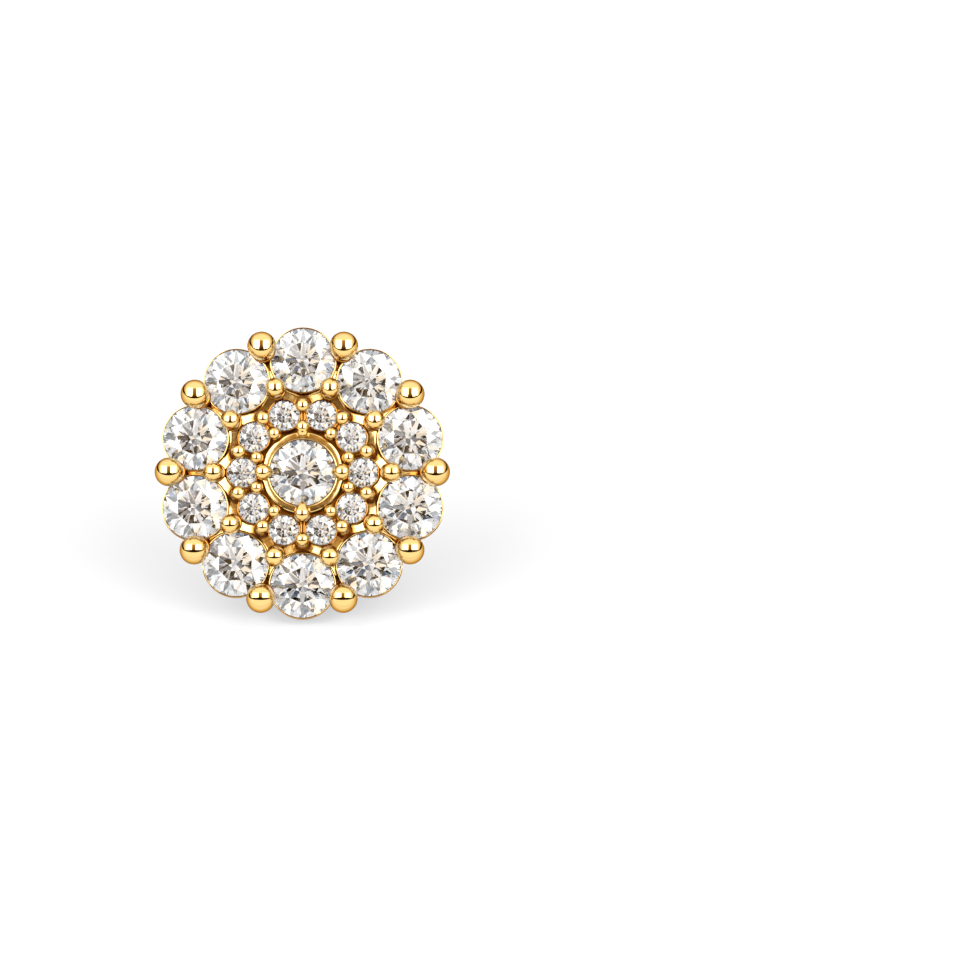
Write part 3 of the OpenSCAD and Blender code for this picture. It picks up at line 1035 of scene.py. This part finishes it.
def studio_world():
    """The studio round the earring, painted as it shows in a mirror ball seen by the camera:
    a pale card below, its top edge black, and above it a pale tent with two bright windows
    either side of a dark gap. The floor gets its light from above, and the stones see the tent
    broken up into paler, bluer and warmer patches."""
    right, up, back = view_axes()
    world = bpy.data.worlds.new("studio")
    bpy.context.scene.world = world
    world.use_nodes = True
    tree = world.node_tree
    tree.nodes.clear()
    direction = add(tree, "TexCoord").outputs["Generated"]
    half_way = add(tree, "VectorMath", (direction, back), operation="ADD")
    ball = add(tree, "VectorMath", (half_way,), operation="NORMALIZE")
    x = add(tree, "VectorMath", (ball, right), operation="DOT_PRODUCT").outputs["Value"]
    y = add(tree, "VectorMath", (ball, up), operation="DOT_PRODUCT").outputs["Value"]
    z = add(tree, "VectorMath", (ball, back), operation="DOT_PRODUCT").outputs["Value"]
    side = add(tree, "Math", (x,), operation="ABSOLUTE")

    def step(value, limits):
        return add(tree, "MapRange", span(value, limits), interpolation_type="SMOOTHSTEP")

    # The floor's end, seen all round; in front the near card hides it
    forward = add(tree, "VectorMath", (direction, back), operation="DOT_PRODUCT").outputs["Value"]
    upward = add(tree, "VectorMath", (direction, up), operation="DOT_PRODUCT").outputs["Value"]
    behind = calculate(tree, "MULTIPLY", forward, FLOOR_RISE_BEHIND)
    higher = add(tree, "Math", (forward, behind), operation="MAXIMUM")
    above = calculate(tree, "ADD", upward, higher)
    lift = (step(side, TENT_FOOT_SIDES), TENT_FOOT_LIFT[1], TENT_FOOT_LIFT[0])
    lift = add(tree, "Math", lift, operation="MULTIPLY_ADD")
    card = step(above, FLOOR_END)
    tent = step(add(tree, "Math", (above, lift), operation="SUBTRACT"), TENT_FOOT)

    # A dark gap in the middle of the tent, wider at its foot and warmer towards its top
    from_gap = (step(y, GAP_FOOT), -GAP_FOOT_WIDER, side)
    from_gap = add(tree, "Math", from_gap, operation="MULTIPLY_ADD")
    gap_side = step(from_gap, GAP_SIDE)
    open_gap = add(tree, "Math", (gap_side, step(y, GAP_TOP)), operation="MAXIMUM")
    glimmer = add(tree, "MapRange", span(y, GLIMMER_HEIGHT, GLIMMER))
    open_gap = add(tree, "Math", (open_gap, glimmer), operation="MAXIMUM")

    # A bright window on each side of the gap, and the tent over and beside them
    window = calculate(tree, "MULTIPLY", step(y, WINDOW_TOP), step(side, WINDOW_SIDE), gap_side)
    edge = add(tree, "MapRange", span(z, TENT_EDGE, TENT_EDGE_LIGHT))
    sides = (step(side, TENT_SIDES), TENT_SIDE_LIGHT[1], TENT_SIDE_LIGHT[0])
    sides = add(tree, "Math", sides, operation="MULTIPLY_ADD")
    tent_light = calculate(tree, "MULTIPLY", edge, sides)
    tent_light = add(tree, "Math", (window, WINDOW_LIGHT, tent_light), operation="MULTIPLY_ADD")
    tent_light = calculate(tree, "MULTIPLY", tent_light, tent, open_gap)
    card_edge = add(tree, "MapRange", span(z, CARD_EDGE, CARD_EDGE_LIGHT))
    card_light = calculate(tree, "MULTIPLY", card, card_edge)
    light = calculate(tree, "ADD", tent_light, card_light, BASE_LIGHT)
    warmth = add(tree, "ValToRGB", (light,), stops=WARMTH)
    # The light is dimmed at each bounce, as painted shade in the recesses
    light = calculate(tree, "MULTIPLY", light, recess_shade_by_bounce(tree))
    mirrored = add(tree, "Background", {"Color": warmth, "Strength": light})

    # Patches of light for the stones, darker straight ahead, where the camera stands
    tint = add(tree, "TexNoise", {"Vector": direction, "Scale": TINT_SCALE, "Detail": 0.0})
    tint = add(tree, "ValToRGB", (tint.outputs["Fac"],), stops=STONE_TINTS)
    shade = add(tree, "TexNoise", {"Vector": direction, "Scale": SHADE_SCALE, "Detail": 0.0})
    ahead = add(tree, "MapRange", span(z, SHADE_AHEAD, SHADE_AHEAD_BY))
    shade = add(tree, "Math", (shade.outputs["Fac"], ahead), operation="SUBTRACT")
    shade = add(tree, "MapRange", span(shade, SHADE_STEP, SHADE_LIGHT))
    shade = add(tree, "Math", (shade, SHADE_POWER), operation="POWER")
    sparkle = add(tree, "Math", (window, STONE_WINDOW_LIGHT, shade), operation="MULTIPLY_ADD")
    patches = add(tree, "VectorMath", (tint, sparkle), operation="MULTIPLY")
    refracted = add(tree, "Background", {"Color": patches})

    # Light on the floor
    overhead = add(tree, "VectorMath", (direction, OVERHEAD), operation="DOT_PRODUCT")
    glow = step(overhead.outputs["Value"], OVERHEAD_SPREAD)
    glow = calculate(tree, "ADD", calculate(tree, "MULTIPLY", glow, OVERHEAD_LIGHT), FILL_LIGHT)
    lighting = add(tree, "Background", {"Strength": glow})

    rays = add(tree, "LightPath").outputs
    seen = add(tree, "Background", {"Color": BACKDROP})
    mix = add(tree, "MixShader", (rays["Is Transmission Ray"], mirrored, refracted))
    mix = add(tree, "MixShader", (rays["Is Diffuse Ray"], mix, lighting))
    mix = add(tree, "MixShader", (rays["Is Camera Ray"], mix, seen))
    add(tree, "OutputWorld", {"Surface": mix})


class EARRING_OT_stage(bpy.types.Operator):
    """Builds the studio: floor, light and camera"""

    bl_idname = "earring.stage"
    bl_label = "Studio"

    def execute(self, context):
        scene = context.scene
        settings = scene.earring_camera
        scene.view_settings.view_transform = "Standard"
        scene.cycles.max_bounces = 24
        scene.cycles.glossy_bounces = 12
        scene.cycles.transmission_bounces = 24
        scene.cycles.caustics_reflective = False
        scene.cycles.caustics_refractive = False

        bm = bmesh.new()
        bmesh.ops.create_grid(bm, x_segments=1, y_segments=1, size=1.0)
        mesh = bpy.data.meshes.new("floor")
        bm.to_mesh(mesh)
        bm.free()
        # A sheet of opal acrylic, lit from below as well, so that shadows on it are pale and soft
        material = empty_material("opal_acrylic_sheet")
        tree = material.node_tree
        place = add(tree, "TexCoord").outputs["Object"]
        grain_mm, grain_height_mm = 0.5, 0.02
        grain = add(tree, "TexNoise", {"Vector": place, "Scale": 1 / (grain_mm * MM), "Detail": 2.0})
        bump = add(
            tree, "Bump",
            {"Height": grain.outputs["Fac"], "Strength": 0.1, "Distance": grain_height_mm * MM},
        )
        shader = add(
            tree, "BsdfPrincipled",
            {"Base Color": (*scene.earring_colours.floor, 1.0), "Roughness": 0.9, "Normal": bump,
             "Specular IOR Level": 0.0, "Emission Color": (1.0, 1.0, 1.0, 1.0),
             "Emission Strength": 0.55},
        )
        add(tree, "OutputMaterial", {"Surface": shader})
        mesh.materials.append(material)
        floor = bpy.data.objects.new("floor", mesh)
        scene.collection.objects.link(floor)
        floor.visible_glossy = False

        near_card()
        studio_world()

        right, up, back = view_axes()
        data = bpy.data.cameras.new("camera")
        data.sensor_width = 36.0
        data.lens = data.sensor_width * settings.distance / settings.frame_w
        data.clip_start = 0.001
        camera = bpy.data.objects.new("camera", data)
        scene.collection.objects.link(camera)
        stand = HEAD.translation + settings.distance * back
        stand += settings.aside * right - settings.below * up
        turn = Matrix((right, up, back)).transposed().to_4x4()
        camera.matrix_world = Matrix.Translation(stand) @ turn
        scene.camera = camera
        return {"FINISHED"}


PIECES = (
    EARRING_OT_stage,
    EARRING_OT_centre_stone,
    EARRING_OT_outer_stones,
    EARRING_OT_halo_stones,
    EARRING_OT_outer_cups,
    EARRING_OT_halo_seats,
    EARRING_OT_gallery,
    EARRING_OT_bars,
    EARRING_OT_outer_prongs,
    EARRING_OT_middle_prongs,
    EARRING_OT_halo_prongs,
    EARRING_OT_centre_cup,
    EARRING_OT_claws,
    EARRING_OT_plate,
    EARRING_OT_post,
)


class EARRING_PT_pieces(bpy.types.Panel):
    """Lists the earring's sizes and pieces"""

    bl_idname = "EARRING_PT_pieces"
    bl_label = "Cluster Stud Earring"
    bl_space_type = "VIEW_3D"
    bl_region_type = "UI"
    bl_category = "Earring"

    def draw(self, context):
        for group_name, group in SIZES.items():
            box = self.layout.box()
            for name in group.__annotations__:
                box.prop(getattr(context.scene, group_name), name)
        for piece in PIECES:
            self.layout.operator(piece.bl_idname)


def register():
    for group_name, group in SIZES.items():
        bpy.utils.register_class(group)
        setattr(bpy.types.Scene, group_name, bpy.props.PointerProperty(type=group))
    for cls in (*PIECES, EARRING_PT_pieces):
        bpy.utils.register_class(cls)


def unregister():
    for cls in (EARRING_PT_pieces, *reversed(PIECES)):
        bpy.utils.unregister_class(cls)
    for group_name, group in reversed(SIZES.items()):
        delattr(bpy.types.Scene, group_name)
        bpy.utils.unregister_class(group)


def main():
    register()
    for piece in PIECES:
        category, name = piece.bl_idname.split(".")
        getattr(getattr(bpy.ops, category), name)()


if __name__ == "__main__":
    main()
